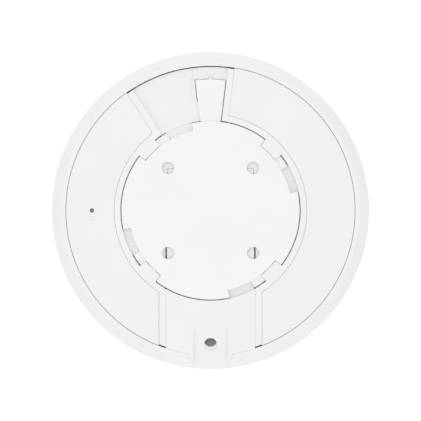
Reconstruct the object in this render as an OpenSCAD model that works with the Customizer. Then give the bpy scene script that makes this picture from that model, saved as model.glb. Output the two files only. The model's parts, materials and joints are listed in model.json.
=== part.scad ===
// Ceiling access point with its twist-lock ceiling bracket.
// z = 0 is the ceiling plane, +Z points into the ceiling, and +Y points at the release latch.
// The bracket stays on the ceiling; the housing hangs below it and turns about the Z axis.

/* [Front cover] */
// Widest radius of the front cover
outer_r = 103.2; // [102:0.1:105]
// Depth from the ceiling plane to the front face
depth = 46; // [45:0.5:50]
// Radius of the large fillet between side and front face
front_fillet = 20; // [18:1:20]
// Wall thickness of the front cover
cover_wall = 2.2; // [2:0.1:2.4]
// Outer radius of the flat rear land
land_r = 93.3; // [93:0.1:94]
// Radius of the seam between the land and the rear panels
seam_r = 90.7; // [90.6:0.1:90.8]

/* [Ceiling bracket] */
// Radius of the bracket disc
bracket_r = 55.75; // [55.7:0.05:55.9]
// Hole-to-hole distance of the four ceiling screws
screw_pitch = 53.12; // [50:0.1:56]
// Radius of a ceiling screw hole
screw_hole_r = 3.8; // [2.5:0.1:4.2]
// Thickness of the disc's middle
disc_t = 2.2; // [1.8:0.1:2.4]

/* [Bayonet] */
// First angle of a housing tab when locked
tab_start = 38.3; // [38:0.1:38.5]
// Angular width of a housing tab
tab_deg = 14; // [12:0.5:14]
// Radius that the tabs reach in to
tab_r = 51.2; // [51.1:0.1:52]

/* [Latch] */
// Half of the tongue's angular width
tongue_half_deg = 6.65; // [6:0.05:6.65]
// Radius of the tongue's blunt end
tongue_r = 82.2; // [80:0.1:82.5]
// Thickness of the tongue
tongue_t = 1.2; // [1:0.1:1.2]
// Angle of the latch bay's right wall
bay_start = 82.95; // [82.9:0.05:83]
// Angle of the latch bay's left wall
bay_end = 122.8; // [122:0.1:124]

/* [Rear panels] */
// Width of the rib right of the latch bay
right_rib_w = 3.9; // [3:0.1:4.5]
// Width of the rib left of the latch bay
left_rib_w = 4.2; // [3:0.1:4.5]
// Half of the distance between the two side panels' lower edges
panel_edge_x = 32.25; // [32:0.05:34]
// Width of the fine groove around a side panel
groove = 0.14; // [0.1:0.01:0.3]

/* [Cable door] */
// Half width of the cable door
door_half = 27.9; // [27.5:0.1:28]
// Slope of the cable ramp
ramp_deg = 10; // [8:0.5:11]
// Distance from the centre to the ramp's inner end
ramp_y = 73; // [72:0.5:74]
// Half width of the cable ramp
ramp_half = 10.7; // [10:0.1:11]
// Distance from the centre to the cable seat
cable_y = 84.1; // [83.2:0.1:84.6]
// Radius of the round cable seat
cable_r = 4.15; // [4:0.05:4.3]
// Depth of the round cable seat
seat_depth = 1.4; // [1:0.1:1.4]
// Length of the cable opening's wall
cable_len = 2.9; // [2.6:0.1:3]

/* [Reset] */
// Distance from the centre to the reset hole
reset_x = 74.2; // [72:0.1:76]
// Radius of the reset pinhole
reset_hole_r = 1.35; // [1:0.05:1.4]
// Travel of the reset plunger
reset_travel = 0.5; // [0.3:0.1:0.5]

/* [Electronics] */
// Radius of the main board
board_r = 80; // [76:1:80]
// Half width of the network jack
jack_half = 8; // [7.8:0.1:8.2]

/* [Hidden] */
$fn = 96;

// Heights of the rear side, from the ceiling plane down
face_z = -0.6;                      // rear face of ribs, frame and panels
land_z = -0.8;                      // rear face of the cover's land
panel_z = -2.0;                     // underside of a panel's skin
shelf_top = -3.4;                   // shelf that carries the side panels
shelf_z = -5.6;                     // underside of the shelf
flange_top = -2.1;                  // bracket flange under the housing tabs
flange_z = -3.6;                    // underside of the bracket's rim
tab_z = -1.9;                       // underside of a housing tab
bay_z = -3.2;                       // floor of the latch bay
channel_z = -4.6;                   // floor under the tongue
plateau_z = -2.5;                   // housing floor behind the bracket's middle
plateau_under = -4.7;               // underside of that middle
floor_top = -3.8;                   // housing floor behind the bracket's rim
moat_z = -5.4;                      // floor of the groove inside the frame
floor_z = -6.4;                     // underside of that floor
rib_bottom = -6.3;                  // underside of the ribs
bay_bottom = -6.1;                  // underside of the latch bay
tray_floor_top = -18.5;
tray_z = -20;
board_top = -22;
board_z = -23.6;
cut = 1;                            // how far a cutting solid runs past a face

// Frame around the bracket
frame_in = 56.4;
frame_out = 60.24;
panel_in = frame_out + groove;
shelf_r = 90.3;
panel_out = 90.35;
door_out = seam_r - 0.05;
bay_r = 90.25;                      // outer end of the latch bay
rib_r = 89.65;                      // outer end of the ribs and side strips
left_corner_r = 2.3;
right_corner_r = 1;
rim_in = 46;                        // inner radius of the bracket's thick rim
plateau_r = 45.6;
moat_in = 55.1;
notch_r = 51.0;
notch_start = 12.3;
notch_end = 29.7;
flange_end = 52.5;

// Tongue hinge
hinge_y = 54.6;
hinge_r = 0.9;
hinge_gap = 0.05;
tongue_z = -3.0;
hinge_z = tongue_z + tongue_t / 2;
hinge_half = 6.2;
catch_top = tongue_z - 0.1;
catch_start = 97.0;
catch_r = 69;                       // inner end of the catch
catch_x = 11.6;
tip_half = 1.7;
tip_len = 2.2;

// Cable door and tray
door_gap = 0.05;
door_in_half = 27.3;                // half width of the door behind the bracket
door_upper_half = 26.75;            // the same towards the door's inner end
slot_half = 28.35;                  // half width of the opening beside the door's inner part
slot_y = -49.3;                     // its outer end, where it just nicks the frame
door_in_y = 26.2;                   // inner end of the door
door_step_y = -12;                  // where the door's half width changes
tray_half = 27;
tray_wall = 2.3;
throat_half = 12;                   // half width of the tray near the rim
throat_y = 76;
tray_in_y = 24;
tray_out_r = 90.3;
tray_end_r = 88.9;
ramp_t = 2.0;
lip_half_in = 13.6;                 // half widths of the door's lip at the seam and further out
lip_half_out = 11.5;
lip_r = 95.3;                       // outer edge of the lip
hole_half_h = 3.0;                  // half height and half width of the oval cable opening
hole_half_w = 3.9;
hole_shift = 1.0;                   // its centre, inwards from the seat's centre
guide_z = -7.3;                     // upper end of the cable guide's slope
guide_deg = 28;
boss_wall = 1.1;
mouth = (cable_y - ramp_y) / cos(ramp_deg);

// Cover profile: a cone from the land that runs tangent into the front fillet
fillet_c = [outer_r - front_fillet, front_fillet - depth];
fillet_d = norm([land_r, land_z] - fillet_c);
cone_a = atan2(land_z - fillet_c.y, land_r - fillet_c.x) - acos(front_fillet / fillet_d);
cone_n = [cos(cone_a), sin(cone_a)];
lip_t = 2.2;
front_in = cover_wall - depth;

// Electronics stack below the board
chip_z = board_z - 1.4;
can_z = board_z - 3;
sink_top = -27.4;
sink_z = -30;
carrier_top = -35;
carrier_z = -36.5;
sink_r = 66;
carrier_r = 72;
aerial_r = 66;
coax_r = 0.65;
plug_r = 75;
bend_r = 2.5;

// Fasteners
post_r = 84;                        // circle of the cover posts
post_angles = [30, 150, 210, 330];
board_screw_r = 72;
board_screw_angles = [20, 160, 215, 325];
sink_screw = 35.4;
carrier_screw_r = 58;
carrier_screw_angles = [30, 150, 270];
thread_r = 1.3;
shank_r = 1.25;
head_r = 2.7;
low_band_angles = [0, 120, 240];
high_band_angles = [60, 180, 300];

shell_white = [0.955, 0.96, 0.97];
steel = [0.72, 0.73, 0.75];
gold = [0.85, 0.68, 0.32];
black = [0.1, 0.1, 0.11];

function on_cone(z, inset) =
    (cone_n.x * land_r + cone_n.y * (land_z - z) - inset) / cone_n.x;

// ---- shared shapes ----

module slab(x0, x1, y0, y1, z0, z1)
    translate([x0, y0, z0]) cube([x1 - x0, y1 - y0, z1 - z0]);

module rod(r, z0, z1)
    translate([0, 0, z0]) cylinder(r = r, h = z1 - z0);

module ring(r0, r1, z0, z1)
    rotate_extrude() translate([r0, z0]) square([r1 - r0, z1 - z0]);

module arc_block(r0, r1, a0, a1, z0, z1)
    rotate([0, 0, a0]) rotate_extrude(angle = a1 - a0)
        translate([r0, z0]) square([r1 - r0, z1 - z0]);

module polar(r, a)
    rotate([0, 0, a]) translate([r, 0, 0]) children();

module quarters()
    for (a = [0:90:270]) rotate([0, 0, a]) children();

module on_corners(d)
    for (x = [-d, d], y = [-d, d]) translate([x, y, 0]) children();

// Local -Y runs down the cable ramp and local +Z is its outward normal
module on_ramp()
    translate([0, -ramp_y, face_z]) rotate([ramp_deg, 0, 0]) children();

// Pan-head screw: the head sits on z = 0 and the shank runs up
module screw_up(length) {
    rod(shank_r, -0.5, length);
    difference() {
        rod(head_r, -1.3, 0);
        slab(-1.6, 1.6, -0.25, 0.25, -1.4, -0.7);
        slab(-0.25, 0.25, -1.6, 1.6, -1.4, -0.7);
    }
}

// Half profile of the cover, inset from its outside, closed at height top
module cover_profile(inset, top) {
    translate(fillet_c) circle(r = front_fillet - inset);
    polygon([
        [0, top],
        [on_cone(top, inset), top],
        fillet_c + (front_fillet - inset) * cone_n,
        fillet_c,
        [fillet_c.x, inset - depth],
        [0, inset - depth]
    ]);
}

module cover_body()
    rotate_extrude() cover_profile(0, land_z);

// ---- ceiling bracket ----

module latch_socket() {
    translate([-hinge_half - 0.15, hinge_y, hinge_z]) rotate([0, 90, 0])
        cylinder(r = hinge_r + hinge_gap, h = 2 * hinge_half + 0.3);
    slab(-hinge_half - 0.15, hinge_half + 0.15, hinge_y, bracket_r + cut,
        tongue_z - 0.15, tongue_z + tongue_t + 0.15);
}

module mounting_bracket()
    color(shell_white) difference() {
        union() {
            rod(bracket_r, -disc_t, 0);
            ring(rim_in, bracket_r, flange_z, 0);
        }
        on_corners(screw_pitch / 2) rod(screw_hole_r, -disc_t - cut, cut);
        quarters() {
            arc_block(notch_r, bracket_r + cut, notch_start, flange_end, flange_top, cut);
            arc_block(notch_r, bracket_r + cut, notch_start, notch_end, flange_z - cut, cut);
        }
        latch_socket();
    }

module latch_tongue()
    color(shell_white) union() {
        translate([-hinge_half, hinge_y, hinge_z]) rotate([0, 90, 0])
            cylinder(r = hinge_r, h = 2 * hinge_half);
        slab(-hinge_half, hinge_half, hinge_y, frame_in + 1, tongue_z, tongue_z + tongue_t);
        arc_block(frame_in + 0.2, tongue_r, 90 - tongue_half_deg, 90 + tongue_half_deg,
            tongue_z, tongue_z + tongue_t);
        translate([0, 0, tongue_z]) linear_extrude(tongue_t) tongue_tip(0);
    }

// Plan of the small pointer at the tongue's end, larger by gap all round
module tongue_tip(gap)
    polygon([[-tip_half - gap, tongue_r - 1], [tip_half + gap, tongue_r - 1],
        [tip_half + gap, tongue_r], [0, tongue_r + tip_len + gap], [-tip_half - gap, tongue_r]]);

// ---- rear chassis ----

// Bar along a radius: side is the sideways extent, negative to the clockwise side
module rib(angle, side)
    intersection() {
        rotate([0, 0, angle])
            slab(frame_in, rib_r + cut, min(side, 0), max(side, 0), rib_bottom, face_z);
        ring(frame_in + 0.1, rib_r, rib_bottom, face_z);
    }

module latch_bay() {
    rib(bay_start, -right_rib_w);
    rib(bay_end, left_rib_w);
    difference() {
        union() {
            arc_block(frame_in + 0.05, bay_r, bay_start - 0.6, bay_end + 0.6, bay_bottom, bay_z);
            arc_block(moat_in - 2, frame_in + 2, bay_start - 0.8, bay_end + 0.8,
                bay_bottom - 0.1, moat_z + 0.1);
            rotate([0, 0, 90]) notch_floor(bay_bottom);
        }
        // Deep under the tongue, and a little wider where the catch stands beside it
        arc_block(moat_in - 3, tongue_r - 0.3, bay_start - 0.5, 90 + tongue_half_deg - 0.4,
            channel_z, 0);
        arc_block(catch_r, tongue_r - 0.2, bay_start - 0.3, catch_start, channel_z + 0.1, 0);
        arc_block(tongue_r - 1, tongue_r + 0.45, bay_start - 0.2, catch_start - 0.1,
            bay_z - 0.5, 0);
        translate([0, 0, bay_z - 0.6]) linear_extrude(-bay_z) tongue_tip(0.35);
    }
    // Catch beside the tongue, and the low ridge that runs on from it to the rim
    difference() {
        arc_block(catch_r + 0.1, tongue_r + 0.6, catch_start + 0.1, catch_start + 9,
            bay_z - 0.4, catch_top);
        slab(-30, -catch_x, catch_r - 4, bay_r, floor_z, 0);
    }
    intersection() {
        slab(-catch_x, -catch_x + 0.6, tongue_r, bay_r, bay_z - 0.3, catch_top - 0.02);
        rod(bay_r - 0.5, floor_z, 0);
    }
}

module housing_tabs()
    for (k = [0:3]) rotate([0, 0, 90 * k])
        intersection() {
            arc_block(k == 0 ? tab_r : tab_r - 1, frame_in + 1, tab_start, tab_start + tab_deg,
                tab_z, face_z);
            // Three tabs have a straight inner edge, and the keyed one follows the arc
            rotate([0, 0, tab_start + tab_deg / 2])
                slab(k == 0 ? 0 : tab_r, frame_in + 2, -10, 10, tab_z - cut, cut);
        }

module tray_shape(half, throat, in_y, y, r, z0, z1)
    intersection() {
        union() {
            slab(-half, half, -y, in_y, z0, z1);
            slab(-throat, throat, -seam_r - cut, -y + cut, z0, z1);
        }
        rod(r, z0 - cut, z1 + cut);
    }

module door_opening() {
    wide = door_half + door_gap;
    upper = door_upper_half + 0.2;
    slab(-wide, wide, -seam_r - cut, door_step_y, floor_z, cut);
    slab(-slot_half, slot_half, slot_y, door_step_y - 0.1, floor_z + 0.05, cut);
    slab(-upper, upper, door_step_y - cut, door_in_y + 0.1, floor_z, cut);
}

module side_strips()
    for (side = [-1, 1]) intersection() {
        slab(min(side * (door_half + door_gap), side * (panel_edge_x - groove / 2)),
            max(side * (door_half + door_gap), side * (panel_edge_x - groove / 2)),
            -rib_r, -frame_in + 8, shelf_z, face_z);
        ring(frame_in + 1.5, rib_r, shelf_z, face_z);
    }

// Floor behind the bracket: raised in the middle, with a groove along the frame except where
// the bracket's notches stand
module back_floor()
    difference() {
        union() {
            rod(moat_in, floor_z, floor_top);
            ring(moat_in - 1, frame_in + 1, floor_z, moat_z);
            quarters() notch_floor(floor_z + 0.1);
            rod(plateau_r, floor_z + 0.2, plateau_z);
        }
        rod(plateau_r - 2, floor_z - cut, plateau_under);
    }

module notch_floor(z)
    arc_block(rim_in + 1.5, frame_in + 1, notch_start - 0.3, notch_end + 0.3, z,
        floor_top + 0.05);

module chassis_body()
    difference() {
        union() {
            difference() {
                union() {
                    back_floor();
                    ring(frame_in, frame_out, floor_z, face_z);
                    ring(frame_in + 1, shelf_r, shelf_z, shelf_top);
                }
                arc_block(moat_in + 0.1, shelf_r + cut, bay_start - 1, bay_end + 1,
                    floor_z - cut, cut);
                arc_block(rib_r, shelf_r + cut, bay_start - 2.5, bay_end + 2.7,
                    floor_z - cut, cut);
            }
            latch_bay();
            housing_tabs();
            tray_shape(tray_half + tray_wall, throat_half + 2, tray_in_y + tray_wall + 2,
                throat_y + tray_wall, tray_out_r, tray_z, plateau_under + 0.1);
            tray_shape(tray_half + tray_wall, tray_half + tray_wall, -frame_in,
                throat_y + 4, tray_out_r - 4, floor_z, shelf_top);
            on_corners(sink_screw) rod(3.2, board_top, floor_z + 0.1);
            for (a = board_screw_angles) polar(board_screw_r, a) rod(3.2, board_top, shelf_z + 0.1);
            polar(reset_x, 180) rod(3.4, -12, shelf_z + 0.1);
        }
        door_opening();
        tray_shape(tray_half, throat_half, tray_in_y, throat_y, tray_end_r,
            tray_floor_top, floor_z + cut);
        slab(-jack_half - 0.6, jack_half + 0.6, 3.4, 21.9, tray_z - cut, tray_floor_top + cut);
        on_corners(sink_screw) rod(thread_r, board_top - cut, -14);
        for (a = board_screw_angles) polar(board_screw_r, a) rod(thread_r, board_top - cut, -14);
        for (a = post_angles) polar(post_r, a) rod(thread_r + 0.2, shelf_z - cut, shelf_top + cut);
        polar(reset_x, 180) rod(1.65, -12 - cut, cut);
        for (s = [0, 1]) mirror([s, 0, 0]) panel_pins(1.6);
    }

// Fills the panels' rounded inner corners between rib and frame, whose faces it just crosses
module corner_fill(rib_w, q) {
    bite = 0.05;
    translate([0, 0, shelf_z + 0.5]) linear_extrude(face_z - shelf_z - 0.5)
        corner_waste(frame_out - bite, rib_w - bite, q + groove);
}

// Slope in the tray below the cable opening, which leads the cable inwards
module cable_guide()
    intersection() {
        translate([0, -tray_end_r, guide_z]) rotate([-guide_deg, 0, 0])
            slab(-throat_half - 1, throat_half + 1, -3, 30, -14, 0);
        slab(-throat_half - 1, throat_half + 1, -tray_end_r - 0.8, -throat_y + 1,
            tray_floor_top - 0.5, guide_z + 0.3);
        rod(tray_out_r - 0.4, tray_z, 0);
    }

module rear_chassis()
    color(shell_white) union() {
        chassis_body();
        cable_guide();
        side_strips();
        rotate(bay_start) corner_fill(right_rib_w, right_corner_r);
        mirror([1, 0, 0]) rotate(180 - bay_end) corner_fill(left_rib_w, left_corner_r);
    }

// ---- side panels ----

// Sharp corner between a straight edge and the frame's arc, filled up to a concave radius q.
// The edge runs parallel to local +X at distance w on the clockwise side.
module corner_waste(radius, w, q) {
    centre = [sqrt(pow(radius + q, 2) - pow(w + q, 2)), -(w + q)];
    arc_dir = centre / norm(centre);
    difference() {
        polygon([[centre.x, -w + cut], [centre.x - 2 * q - cut, -w + cut],
            (radius - 2 * cut) * arc_dir, centre, [centre.x, -w]]);
        translate(centre) circle(r = q);
    }
}

// Plan of a right-hand side panel, drawn in by inset on every side. rib_q rounds its inner
// corner at the rib, and its inner lower corner has a small radius of its own.
module panel_plan(edge_angle, rib_w, rib_q, inset) {
    rib_edge = rib_w + groove / 2 + inset;
    low_edge = panel_edge_x + groove / 2 + inset;
    low_q = 0.6;
    difference() {
        circle(r = panel_out - inset);
        circle(r = panel_in + inset);
        rotate(edge_angle) translate([-130, -rib_edge]) square([260, 200]);
        translate([-130, -130]) square([130 + low_edge, 130]);
        rotate(edge_angle) corner_waste(panel_in + inset, rib_edge, rib_q);
        rotate(-90) mirror([0, 1]) corner_waste(panel_in + inset, low_edge, low_q);
    }
}

// Three clip pins that hold a panel on the shelf
module panel_pins(r)
    for (a = [50, 12, -48]) polar(66, a) rod(r, shelf_z - 0.6, panel_z + 0.1);

module side_panel(edge_angle, rib_w, rib_q) {
    translate([0, 0, panel_z]) linear_extrude(face_z - panel_z)
        panel_plan(edge_angle, rib_w, rib_q, 0);
    translate([0, 0, shelf_top]) linear_extrude(panel_z - shelf_top + 0.1)
        difference() {
            panel_plan(edge_angle, rib_w, rib_q, 0);
            panel_plan(edge_angle, rib_w, rib_q, 1.2);
        }
    panel_pins(1.5);
}

// Round arrow beside the reset hole, a plain symbol cut into the panel
module reset_symbol() {
    arc_block(1.15, 1.5, 60, 350, face_z - 0.25, cut);
    translate([1.32, 0.3, face_z - 0.25]) linear_extrude(cut)
        polygon([[-0.75, 0], [0.75, 0], [0, 0.95]]);
}

module left_rear_panel()
    color(shell_white) difference() {
        mirror([1, 0, 0]) side_panel(180 - bay_end, left_rib_w, left_corner_r);
        translate([-reset_x, 0, 0]) rod(reset_hole_r, panel_z - cut, cut);
        translate([-reset_x, -4.8, 0]) reset_symbol();
    }

module right_rear_panel()
    color(shell_white) side_panel(bay_start, right_rib_w, right_corner_r);

// ---- cable door ----

// Oval cable opening with pointed ends, made of two equal arcs
module hole_plan() {
    arc_r = (hole_half_w * hole_half_w / hole_half_h + hole_half_h) / 2;
    translate([0, hole_shift]) intersection() {
        translate([0, hole_half_h - arc_r]) circle(r = arc_r);
        translate([0, arc_r - hole_half_h]) circle(r = arc_r);
    }
}

// Plan of the lip at the door's outer end, which fills a notch in the cover
module lip_plan(gap) {
    near = lip_half_in + gap;
    far = lip_half_out + gap;
    polygon([[-near, -seam_r + 4], [-near, -seam_r], [-far, -lip_r - gap],
        [far, -lip_r - gap], [near, -seam_r], [near, -seam_r + 4]]);
}

// The door's part behind the bracket
module door_inner()
    intersection() {
        union() {
            slab(-door_in_half, door_in_half, -seam_r, door_step_y, floor_z - cut, 0);
            slab(-door_upper_half, door_upper_half, door_step_y - 1, door_in_y, floor_z - cut, 0);
        }
        back_floor();
    }

module cable_door()
    color(shell_white) difference() {
        union() {
            intersection() {
                slab(-door_half, door_half, -seam_r, 0, panel_z - 0.6, face_z);
                ring(frame_in, door_out, shelf_z, 0);
            }
            intersection() {
                translate([0, 0, floor_z]) linear_extrude(face_z - floor_z) lip_plan(0);
                union() {
                    cover_body();
                    rod(land_r - 0.1, floor_z - cut, cut);
                }
            }
            intersection() {
                slab(-door_half, door_half, -seam_r, 0, floor_z, face_z);
                ring(frame_in, frame_in + 2.2, floor_z, face_z);
            }
            door_inner();
            intersection() {
                on_ramp() slab(-ramp_half - 1.3, ramp_half + 1.3, -30, 1, -ramp_t, 15);
                slab(-20, 20, -seam_r, -ramp_y + 1, floor_z, face_z);
                rod(panel_out, floor_z, face_z);
            }
            on_ramp() translate([0, -mouth, 0]) rod(cable_r + boss_wall, -cable_len, -0.5);
        }
        on_ramp() slab(-ramp_half, ramp_half, -30, 0, 0, 10);
        on_ramp() translate([0, -mouth, 0]) {
            rod(cable_r, -seat_depth, cut);
            translate([0, 0, -cable_len - cut]) linear_extrude(cable_len) hole_plan();
        }
    }

// ---- front cover ----

// Notch for the door's lip, and the cable ramp that runs on over the cone
module ramp_notch() {
    translate([0, 0, -9]) linear_extrude(10) lip_plan(0.04);
    on_ramp() slab(-ramp_half, ramp_half, -30, -12, 0, 10);
}

// Local frame on the rear cone at a radius: +Z is its normal and +Y runs down the slope
module on_cone_face(angle, radius)
    rotate([0, 0, angle - 90])
        translate([0, radius, land_z - (radius - land_r) * cone_n.x / cone_n.y])
            rotate([cone_a - 90, 0, 0]) children();

// Release slot, alignment mark and side mark cut into the rear cone
module rim_marks() {
    slot_r = 95.5;
    mark_r = 99.8;
    on_cone_face(90, slot_r) slab(-5.5, 5.5, -0.9, 0.9, -0.65, 2);
    on_cone_face(110.4, slot_r) slab(-1.5, 1.5, -0.9, 0.9, -0.6, 2);
    on_cone_face(90, mark_r) translate([0, 0, -0.6]) linear_extrude(2)
        polygon([[-1.2, 1.3], [1.2, 1.3], [0, -1.7]]);
}

module front_cover()
    color(shell_white) difference() {
        union() {
            rotate_extrude() difference() {
                cover_profile(0, land_z);
                cover_profile(cover_wall, land_z - lip_t);
            }
            for (a = post_angles) polar(post_r, a) rod(3.2, front_in - 0.8, shelf_z);
        }
        rod(seam_r, land_z - lip_t - cut, cut);
        for (a = post_angles) polar(post_r, a) rod(thread_r, -16, shelf_z + cut);
        ramp_notch();
        rim_marks();
        rod(2.5, -depth - cut, front_in + cut);
    }

// ---- status light and reset ----

module status_lens()
    color([0.9, 0.93, 0.97]) rod(2.45, -depth, front_in);

module light_pipe()
    color([0.88, 0.92, 0.96]) union() {
        rod(4, front_in, front_in + 0.8);
        rod(2, front_in, board_z - 1.3);
    }

module status_led()
    color([0.95, 0.93, 0.7]) slab(-1.6, 1.6, -1.4, 1.4, board_z - 1.2, board_z);

module reset_plunger()
    color([0.75, 0.76, 0.78]) translate([-reset_x, 0, 0]) {
        rod(1.6, -19, -4.2);
        rod(2.6, -13.2, -12.1);
    }

module reset_switch()
    color(black) translate([-reset_x, 0, 0]) {
        slab(-3, 3, -3, 3, board_top, -20);
        rod(1.4, -20.1, -19 - reset_travel - 0.1);
    }

// ---- main board and its parts ----

module main_board()
    color([0.1, 0.35, 0.22]) difference() {
        rod(board_r, board_z, board_top);
        on_corners(sink_screw) rod(1.6, board_z - cut, board_top + cut);
        for (a = board_screw_angles) polar(board_screw_r, a) rod(1.6, board_z - cut, board_top + cut);
    }

module ethernet_jack()
    color(black) difference() {
        slab(-jack_half, jack_half, 4, 21, board_top, -8.9);
        slab(-5.9, 5.9, 4 - cut, 17, -19.3, -11);
        slab(-3.2, 3.2, 4 - cut, 14, -20.8, -19.2);
    }

module jack_contacts()
    color(gold) for (i = [0:7])
        translate([-3.57 + 1.02 * i, 16.9, -11.3]) rotate([16, 0, 0])
            slab(-0.22, 0.22, -11, 0, -0.3, 0);

module jack_shield()
    color(steel) difference() {
        slab(-jack_half - 0.35, jack_half + 0.35, 4, 21.35, board_top, -8.55);
        slab(-jack_half, jack_half, 4 - cut, 21, board_top - cut, -8.9);
    }

module ethernet_transformer()
    color(black) union() {
        slab(36, 50, -8, 8, board_top + 0.4, -16.5);
        for (side = [35, 50], i = [0:7])
            slab(side, side + 1, -7 + 2 * i - 0.3, -7 + 2 * i + 0.3, board_top, board_top + 0.8);
    }

module processor_chip()
    color(black) union() {
        slab(-9.5, 9.5, -39.5, -20.5, chip_z + 0.5, board_z);
        slab(-6.5, 6.5, -36.5, -23.5, chip_z, chip_z + 0.6);
    }

module memory_chips()
    color(black) for (x = [-22, 22]) slab(x - 4.5, x + 4.5, -36.5, -23.5, board_z - 1.1, board_z);

// Centres of the three radio sections
radio_spots = [[46, 0], [-46, 0], [0, 42]];

module radio_chips()
    color(black) for (p = radio_spots) translate(p) slab(-5, 5, -5, 5, chip_z, board_z);

module shield_cans()
    color(steel) for (p = radio_spots) translate(p) difference() {
        slab(-12, 12, -12, 12, can_z, board_z);
        slab(-11.7, 11.7, -11.7, 11.7, can_z + 0.3, board_z + cut);
    }

module power_inductors()
    color([0.3, 0.3, 0.32]) for (p = [[42, 22], [42, -22], [-42, 22]]) translate(p)
        intersection() {
            slab(-4, 4, -4, 4, board_top, board_top + 4);
            rod(4.9, board_top, board_top + 4);
        }

module capacitors()
    color([0.35, 0.36, 0.4]) for (p = [[-40, -10], [-40, 2], [-50, -4], [54, -18]]) translate(p)
        union() {
            slab(-3.3, 3.3, -3.3, 3.3, board_top, board_top + 0.8);
            rod(3.1, board_top + 0.5, board_top + 7.7);
        }

module thermal_pads()
    color([0.55, 0.62, 0.72]) {
        slab(-6.5, 6.5, -36.5, -23.5, -26, chip_z);
        for (p = radio_spots) translate(p) slab(-9, 9, -9, 9, sink_top, can_z);
    }

module heat_sink()
    color([0.66, 0.67, 0.69]) difference() {
        union() {
            rod(sink_r, sink_z, sink_top);
            slab(-8, 8, -38, -22, sink_top - 0.5, -26);
            on_corners(sink_screw) rod(3.2, sink_top - 0.5, board_z);
            for (a = carrier_screw_angles) polar(carrier_screw_r, a) rod(3, carrier_top, sink_z + 0.5);
            for (a = [0:15:345]) rotate([0, 0, a]) if (a % 60 != 30)
                slab(14, 54, -0.7, 0.7, sink_z - 2.6, sink_z + 0.5);
        }
        rod(5, sink_z - cut, sink_top + cut);
        on_corners(sink_screw) {
            rod(1.6, sink_z - 4, board_z + cut);
            rod(head_r + 0.4, sink_z - 4, sink_z);
        }
        for (a = carrier_screw_angles) polar(carrier_screw_r, a) rod(thread_r, carrier_top - cut, -31);
    }

// ---- antennas ----

module antenna_carrier()
    color([0.86, 0.87, 0.88]) difference() {
        ring(22, carrier_r, carrier_z, carrier_top);
        for (a = carrier_screw_angles) polar(carrier_screw_r, a)
            rod(1.6, carrier_z - cut, carrier_top + cut);
        for (a = [15:30:345]) polar(42, a) rod(6, carrier_z - cut, carrier_top + cut);
    }

// Stamped strip on the carrier with a bent-down radiating blade
module aerial(half, drop) {
    slab(-4, 3, -half, half, carrier_z - 0.4, carrier_z);
    slab(2.6, 3, -half, half, carrier_z - drop, carrier_z);
    slab(-4, -3.6, -half, -half + 5, carrier_z - drop + 1.5, carrier_z);
}

module low_band_antennas()
    color(gold) for (a = low_band_angles) polar(aerial_r, a) aerial(14, 6);

module high_band_antennas()
    color(gold) for (a = high_band_angles) polar(aerial_r, a) aerial(8, 4.5);

module coax_plugs()
    color(gold) for (a = [0:60:300]) polar(plug_r, a) {
        rod(1.4, board_z - 1.2, board_z);
        rod(0.9, board_z - 1.8, board_z - 1.1);
    }

// From the plug down past the heat sink, then in to the blade
module coax_cables()
    color(black) for (a = [0:60:300]) rotate([0, 0, a]) {
        drop = carrier_z - 1.5;
        translate([plug_r, 0, 0]) rod(coax_r, drop + bend_r, board_z - 1.8);
        translate([plug_r - bend_r, 0, drop + bend_r]) rotate([90, 0, 0])
            rotate([0, 0, -90]) rotate_extrude(angle = 90) translate([bend_r, 0]) circle(r = coax_r);
        translate([aerial_r + 3, 0, drop]) rotate([0, 90, 0])
            cylinder(r = coax_r, h = plug_r - bend_r - aerial_r - 3);
    }

// ---- fasteners ----

module chassis_screws()
    color(steel) for (a = post_angles) polar(post_r, a)
        translate([0, 0, shelf_top]) mirror([0, 0, 1]) screw_up(11);

module board_screws()
    color(steel) for (a = board_screw_angles) polar(board_screw_r, a)
        translate([0, 0, board_z]) screw_up(8.5);

module heat_sink_screws()
    color(steel) on_corners(sink_screw) translate([0, 0, sink_z]) screw_up(15);

module carrier_screws()
    color(steel) for (a = carrier_screw_angles) polar(carrier_screw_r, a)
        translate([0, 0, carrier_z]) screw_up(5);

mounting_bracket();
latch_tongue();
rear_chassis();
left_rear_panel();
right_rear_panel();
cable_door();
front_cover();
status_lens();
light_pipe();
reset_plunger();
reset_switch();
main_board();
ethernet_jack();
jack_shield();
jack_contacts();
ethernet_transformer();
processor_chip();
memory_chips();
radio_chips();
shield_cans();
power_inductors();
capacitors();
status_led();
thermal_pads();
heat_sink();
antenna_carrier();
low_band_antennas();
high_band_antennas();
coax_plugs();
coax_cables();
chassis_screws();
board_screws();
heat_sink_screws();
carrier_screws();
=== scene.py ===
"""Looks of a ceiling access point: materials, edge rounding, light and a camera above its
ceiling side."""

import json
import math

import bpy
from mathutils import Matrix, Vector


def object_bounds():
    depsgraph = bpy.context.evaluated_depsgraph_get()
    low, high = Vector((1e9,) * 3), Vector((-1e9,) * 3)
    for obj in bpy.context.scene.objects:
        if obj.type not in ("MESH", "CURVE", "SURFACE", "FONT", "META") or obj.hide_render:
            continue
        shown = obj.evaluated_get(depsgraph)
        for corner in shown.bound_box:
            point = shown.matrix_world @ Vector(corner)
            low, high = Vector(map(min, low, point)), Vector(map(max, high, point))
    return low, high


MM = 0.001
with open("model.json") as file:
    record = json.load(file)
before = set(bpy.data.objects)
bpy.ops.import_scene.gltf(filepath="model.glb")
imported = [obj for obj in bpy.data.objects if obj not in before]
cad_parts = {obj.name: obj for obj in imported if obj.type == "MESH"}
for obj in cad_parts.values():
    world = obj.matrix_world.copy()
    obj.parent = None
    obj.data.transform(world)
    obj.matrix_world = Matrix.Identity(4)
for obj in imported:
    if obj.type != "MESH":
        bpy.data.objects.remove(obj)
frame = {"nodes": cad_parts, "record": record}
nodes = frame["nodes"]
cad_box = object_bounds()


# ---- node helpers ----

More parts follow.
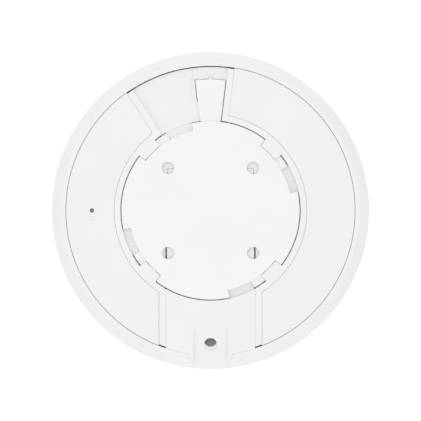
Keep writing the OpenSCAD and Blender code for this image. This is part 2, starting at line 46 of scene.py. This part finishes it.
class Shader:
    """A material's node tree with short calls for the nodes this script uses."""

    def __init__(self, name):
        self.material = bpy.data.materials.new(name)
        self.material.use_nodes = True
        self.tree = self.material.node_tree
        self.base = self.tree.nodes["Principled BSDF"]
        coords = self.tree.nodes.new("ShaderNodeTexCoord")
        self.place = coords.outputs["Object"]

    def node(self, kind, **settings):
        made = self.tree.nodes.new(kind)
        for key, value in settings.items():
            setattr(made, key, value)
        return made

    def link(self, source, target):
        self.tree.links.new(source, target)

    def noise(self, size_mm, detail=2.0, rough=0.5, stretch=(1, 1, 1)):
        """Noise whose features are about size_mm across, optionally stretched along an axis."""
        mapping = self.node("ShaderNodeMapping")
        mapping.inputs["Scale"].default_value = stretch
        self.link(self.place, mapping.inputs["Vector"])
        made = self.node("ShaderNodeTexNoise")
        made.inputs["Scale"].default_value = 1 / (size_mm * MM)
        made.inputs["Detail"].default_value = detail
        made.inputs["Roughness"].default_value = rough
        self.link(mapping.outputs["Vector"], made.inputs["Vector"])
        return made.outputs["Fac"]

    def ramp(self, value, low, high, a, b):
        """Maps value from low..high onto a..b."""
        made = self.node("ShaderNodeMapRange")
        for key, number in (("From Min", low), ("From Max", high), ("To Min", a), ("To Max", b)):
            made.inputs[key].default_value = number
        self.link(value, made.inputs["Value"])
        return made.outputs["Result"]

    def math(self, operation, a, b):
        made = self.node("ShaderNodeMath", operation=operation)
        for socket, value in zip(made.inputs, (a, b)):
            if hasattr(value, "is_output"):
                self.link(value, socket)
            else:
                socket.default_value = value
        return made.outputs["Value"]

    def mix(self, factor, a, b):
        """Colour a where factor is 0, colour b where it is 1."""
        made = self.node("ShaderNodeMix", data_type="RGBA")
        self.link(factor, made.inputs["Factor"])
        for socket, value in ((made.inputs["A"], a), (made.inputs["B"], b)):
            if hasattr(value, "is_output"):
                self.link(value, socket)
            else:
                socket.default_value = (*value, 1)
        return made.outputs["Result"]

    def bump(self, height, depth_mm, strength=1.0):
        made = self.node("ShaderNodeBump")
        made.inputs["Strength"].default_value = strength
        made.inputs["Distance"].default_value = depth_mm * MM
        self.link(height, made.inputs["Height"])
        self.link(made.outputs["Normal"], self.base.inputs["Normal"])

    def set(self, **values):
        for key, value in values.items():
            socket = self.base.inputs[key.replace("_", " ")]
            if hasattr(value, "is_output"):
                self.link(value, socket)
            elif isinstance(value, tuple):
                socket.default_value = (*value, 1)
            else:
                socket.default_value = value


# ---- materials ----

def moulded_plastic(name, color, shade, roughness, grain_mm, grain_depth):
    """Injection-moulded plastic: eroded fine grain, faint flow clouds, and a few rubbed patches."""
    s = Shader(name)
    clouds = s.noise(38, detail=3, rough=0.55)
    tint = s.mix(s.ramp(clouds, 0.35, 0.65, 0, 1), color, shade)
    grain = s.noise(grain_mm, detail=3, rough=0.6)
    rubbed = s.ramp(s.noise(14, detail=4, rough=0.65), 0.56, 0.72, 0, 1)
    rough = s.math("SUBTRACT", s.ramp(grain, 0.3, 0.7, roughness - 0.05, roughness + 0.07),
                   s.math("MULTIPLY", rubbed, 0.06))
    s.set(Base_Color=tint, Roughness=rough, IOR=1.49)
    s.bump(grain, grain_depth, 0.55)
    return s.material


def clear_plastic(name):
    s = Shader(name)
    haze = s.noise(2.5, detail=2)
    s.set(Base_Color=s.mix(haze, (0.93, 0.95, 0.97), (0.86, 0.9, 0.94)),
          Roughness=s.ramp(haze, 0.3, 0.7, 0.18, 0.28), IOR=1.58)
    s.base.inputs["Transmission Weight"].default_value = 0.35
    s.bump(haze, 0.01, 0.3)
    return s.material


def laminate(name):
    """Green solder mask over a faint pattern of copper pours."""
    s = Shader(name)
    cells = s.node("ShaderNodeTexVoronoi", feature="DISTANCE_TO_EDGE", distance="CHEBYCHEV")
    cells.inputs["Scale"].default_value = 1 / (5 * MM)
    s.link(s.place, cells.inputs["Vector"])
    traces = s.ramp(cells.outputs["Distance"], 0.03, 0.06, 1, 0)
    s.set(Base_Color=s.mix(traces, (0.012, 0.085, 0.045), (0.03, 0.17, 0.085)),
          Roughness=s.ramp(s.noise(1.2), 0.3, 0.7, 0.28, 0.4))
    s.bump(traces, 0.035, 0.8)
    return s.material


def sheet_metal(name, color, roughness, metallic=1.0, brush_mm=0.25, stretch=(1, 14, 1)):
    """Rolled or plated metal with fine lines and dull blooms."""
    s = Shader(name)
    lines = s.noise(brush_mm, detail=3, stretch=stretch)
    bloom = s.noise(6, detail=4, rough=0.6)
    dark = tuple(c * 0.82 for c in color)
    s.set(Base_Color=s.mix(s.ramp(bloom, 0.4, 0.7, 0, 1), color, dark),
          Roughness=s.math("ADD", s.ramp(lines, 0.3, 0.7, roughness - 0.06, roughness + 0.08),
                           s.ramp(bloom, 0.45, 0.75, 0, 0.12)),
          Metallic=metallic)
    s.bump(lines, 0.012, 0.5)
    return s.material


def cast_metal(name, color):
    """Die-cast aluminium: pebbled skin with flow marks."""
    s = Shader(name)
    pebbles = s.noise(0.7, detail=5, rough=0.65)
    flow = s.noise(9, detail=3)
    s.set(Base_Color=s.mix(s.ramp(flow, 0.35, 0.7, 0, 1), color, tuple(c * 0.78 for c in color)),
          Roughness=s.ramp(pebbles, 0.3, 0.7, 0.38, 0.58), Metallic=0.95)
    s.bump(pebbles, 0.06, 0.7)
    return s.material


def soft_pad(name, color):
    s = Shader(name)
    filler = s.noise(0.5, detail=4, rough=0.7)
    s.set(Base_Color=s.mix(filler, color, tuple(c * 0.75 for c in color)),
          Roughness=s.ramp(filler, 0.3, 0.7, 0.75, 0.92))
    s.bump(filler, 0.05, 0.6)
    return s.material


WHITE = (0.9, 0.902, 0.914)
WHITE_SHADE = (0.88, 0.884, 0.899)
BRACKET_WHITE = (0.928, 0.93, 0.941)
BRACKET_SHADE = (0.911, 0.915, 0.929)
NATURAL = (0.74, 0.75, 0.76)
NATURAL_SHADE = (0.7, 0.705, 0.71)
STEEL = (0.66, 0.665, 0.675)

materials = {
    "shell_plastic": moulded_plastic("shell_plastic", WHITE, WHITE_SHADE, 0.46, 0.32, 0.02),
    "bracket_plastic": moulded_plastic("bracket_plastic", BRACKET_WHITE, BRACKET_SHADE,
                                       0.5, 0.4, 0.016),
    "lens_plastic": clear_plastic("lens_plastic"),
    "black_plastic": moulded_plastic("black_plastic", (0.022, 0.022, 0.025),
                                     (0.032, 0.032, 0.035), 0.42, 0.3, 0.025),
    "chip_resin": moulded_plastic("chip_resin", (0.03, 0.03, 0.033), (0.042, 0.042, 0.046),
                                  0.62, 0.18, 0.02),
    "board_laminate": laminate("board_laminate"),
    "shield_steel": sheet_metal("shield_steel", STEEL, 0.3),
    "screw_steel": sheet_metal("screw_steel", (0.7, 0.7, 0.72), 0.24, brush_mm=0.15),
    "contact_gold": sheet_metal("contact_gold", (0.83, 0.6, 0.24), 0.22, brush_mm=0.15),
    "sink_aluminium": cast_metal("sink_aluminium", (0.62, 0.63, 0.64)),
    "thermal_silicone": soft_pad("thermal_silicone", (0.33, 0.43, 0.55)),
    "carrier_plastic": moulded_plastic("carrier_plastic", NATURAL, NATURAL_SHADE, 0.5, 0.5, 0.03),
    "coax_jacket": moulded_plastic("coax_jacket", (0.025, 0.025, 0.028), (0.035, 0.035, 0.037),
                                   0.35, 0.25, 0.01),
    "ferrite": moulded_plastic("ferrite", (0.08, 0.08, 0.088), (0.11, 0.11, 0.118), 0.66, 0.35, 0.05),
}

slot_of = {part["node"]: part["material_slot"] for part in frame["record"]["subparts"]}


# ---- edge rounding of the moulded and stamped parts ----

JOIN_MM = 0.002
SHARP_DEG = 30
FLAT_WEIGHT = 80
# The cover's long cone shades evenly only without extra weight on its flat faces
EVENLY_CURVED = {"front_cover"}

# Radius in millimetres of each part's edges
EDGE_MM = {
    "mounting_bracket": 0.45,
    "latch_tongue": 0.3,
    "rear_chassis": 0.16,
    "left_rear_panel": 0.16,
    "right_rear_panel": 0.16,
    "cable_door": 0.1,
    "front_cover": 0.25,
    "reset_plunger": 0.2,
    "ethernet_jack": 0.15,
    "jack_shield": 0.08,
    "processor_chip": 0.1,
    "memory_chips": 0.1,
    "shield_cans": 0.12,
    "power_inductors": 0.3,
    "capacitors": 0.25,
    "heat_sink": 0.25,
    "antenna_carrier": 0.25,
    "thermal_pads": 0.2,
}


def round_edges(piece, radius_mm):
    """Joins the CAD faces, then rounds every sharp edge."""
    weld = piece.modifiers.new("join_faces", "WELD")
    weld.merge_threshold = JOIN_MM * MM
    bevel = piece.modifiers.new("round_edges", "BEVEL")
    bevel.width = radius_mm * MM
    bevel.segments = 3
    bevel.limit_method = "ANGLE"
    bevel.angle_limit = math.radians(SHARP_DEG)
    bevel.use_clamp_overlap = False
    bevel.loop_slide = False
    bevel.miter_outer = "MITER_ARC"
    if piece.name not in EVENLY_CURVED:
        normals = piece.modifiers.new("even_normals", "WEIGHTED_NORMAL")
        normals.weight = FLAT_WEIGHT


for name, piece in nodes.items():
    piece.data.materials.clear()
    piece.data.materials.append(materials[slot_of[name]])
    if name in EDGE_MM:
        if "custom_normal" in piece.data.attributes:
            piece.data.attributes.remove(piece.data.attributes["custom_normal"])
        piece.data.shade_smooth()
        round_edges(piece, EDGE_MM[name])


# ---- floor, light and camera ----

FLOOR_HALF = 4.0
FLOOR_DROP = 0.2 * MM


def make_floor(height):
    """A sheet that reads as pure white from straight above and pale grey from the side, takes the
    object's soft shadow, and is clear from below. It never lights or shades the object."""
    mesh = bpy.data.meshes.new("floor")
    corners = [(x * FLOOR_HALF, y * FLOOR_HALF, height) for x, y in ((-1, -1), (1, -1), (1, 1), (-1, 1))]
    mesh.from_pydata(corners, [], [(0, 1, 2, 3)])
    floor = bpy.data.objects.new("floor", mesh)
    bpy.context.scene.collection.objects.link(floor)
    s = Shader("floor")
    s.set(Base_Color=(0.62, 0.63, 0.645), Roughness=0.9)
    geometry = s.node("ShaderNodeNewGeometry")
    facing = s.node("ShaderNodeVectorMath", operation="DOT_PRODUCT")
    s.link(geometry.outputs["Incoming"], facing.inputs[0])
    s.link(geometry.outputs["Normal"], facing.inputs[1])
    glow = s.node("ShaderNodeEmission")
    glow.inputs["Color"].default_value = (1, 1, 1, 1)
    glow.inputs["Strength"].default_value = 1.05
    blend = s.node("ShaderNodeMixShader")
    path = s.node("ShaderNodeLightPath")
    s.link(s.math("MULTIPLY", s.ramp(facing.outputs["Value"], 0.8, 0.94, 0, 1),
                  path.outputs["Is Camera Ray"]), blend.inputs["Fac"])
    s.link(s.base.outputs["BSDF"], blend.inputs[1])
    s.link(glow.outputs["Emission"], blend.inputs[2])
    clear = s.node("ShaderNodeBsdfTransparent")
    sided = s.node("ShaderNodeMixShader")
    s.link(geometry.outputs["Backfacing"], sided.inputs["Fac"])
    s.link(blend.outputs["Shader"], sided.inputs[1])
    s.link(clear.outputs["BSDF"], sided.inputs[2])
    output = s.tree.nodes["Material Output"]
    s.link(sided.outputs["Shader"], output.inputs["Surface"])
    mesh.materials.append(s.material)
    floor.visible_diffuse = False
    floor.visible_glossy = False
    floor.visible_transmission = False
    floor.visible_shadow = False


EVEN_LIGHT = 0.874
OVERHEAD_GAIN = 0.1
ALONG_Y_GAIN = 0.15


def make_world():
    """Even studio light, a little fuller overhead and along Y than along X."""
    world = bpy.data.worlds.new("studio")
    world.use_nodes = True
    bpy.context.scene.world = world
    tree = world.node_tree
    coords = tree.nodes.new("ShaderNodeTexCoord")
    split = tree.nodes.new("ShaderNodeSeparateXYZ")
    tree.links.new(coords.outputs["Generated"], split.inputs["Vector"])

    def term(socket, gain):
        square = tree.nodes.new("ShaderNodeMath")
        square.operation = "MULTIPLY"
        tree.links.new(split.outputs[socket], square.inputs[0])
        tree.links.new(split.outputs[socket], square.inputs[1])
        scale = tree.nodes.new("ShaderNodeMath")
        scale.operation = "MULTIPLY"
        tree.links.new(square.outputs[0], scale.inputs[0])
        scale.inputs[1].default_value = gain
        return scale.outputs[0]

    def add(a, b):
        total = tree.nodes.new("ShaderNodeMath")
        total.operation = "ADD"
        for socket, value in zip(total.inputs, (a, b)):
            if isinstance(value, float):
                socket.default_value = value
            else:
                tree.links.new(value, socket)
        return total.outputs[0]

    strength = add(add(term("Z", OVERHEAD_GAIN), term("Y", ALONG_Y_GAIN)), EVEN_LIGHT)
    background = tree.nodes["Background"]
    background.inputs["Color"].default_value = (0.985, 0.992, 1.0, 1)
    tree.links.new(strength, background.inputs["Strength"])


def make_softbox(name, place, target, size, power):
    lamp = bpy.data.lights.new(name, "AREA")
    lamp.shape = "SQUARE"
    lamp.size = size
    lamp.energy = power
    lamp.color = (1.0, 0.995, 0.985)
    holder = bpy.data.objects.new(name, lamp)
    holder.location = place
    holder.rotation_euler = (Vector(target) - Vector(place)).to_track_quat("-Z", "Y").to_euler()
    bpy.context.scene.collection.objects.link(holder)


def make_camera(distance, seen_width):
    """Looks straight down on the ceiling side; seen_width of the ceiling plane fills the frame."""
    camera = bpy.data.cameras.new("camera")
    camera.sensor_width = 36
    camera.lens = camera.sensor_width * distance / seen_width
    camera.clip_start = 0.01
    holder = bpy.data.objects.new("camera", camera)
    holder.location = (0, 0, distance)
    bpy.context.scene.collection.objects.link(holder)
    bpy.context.scene.camera = holder


CAMERA_DISTANCE = 600 * MM
# Width seen in the ceiling plane, as a multiple of the object's width
VIEW_MARGIN = 1.2747

low, high = cad_box
make_floor(low.z - FLOOR_DROP)
make_world()
make_softbox("softbox_high", (-0.5, 0.2, 1.1), (0, 0, -0.02), 0.8, 0.6)
make_camera(CAMERA_DISTANCE, (high.x - low.x) * VIEW_MARGIN)
scene = bpy.context.scene
scene.view_settings.view_transform = "Standard"
scene.view_settings.look = "None"
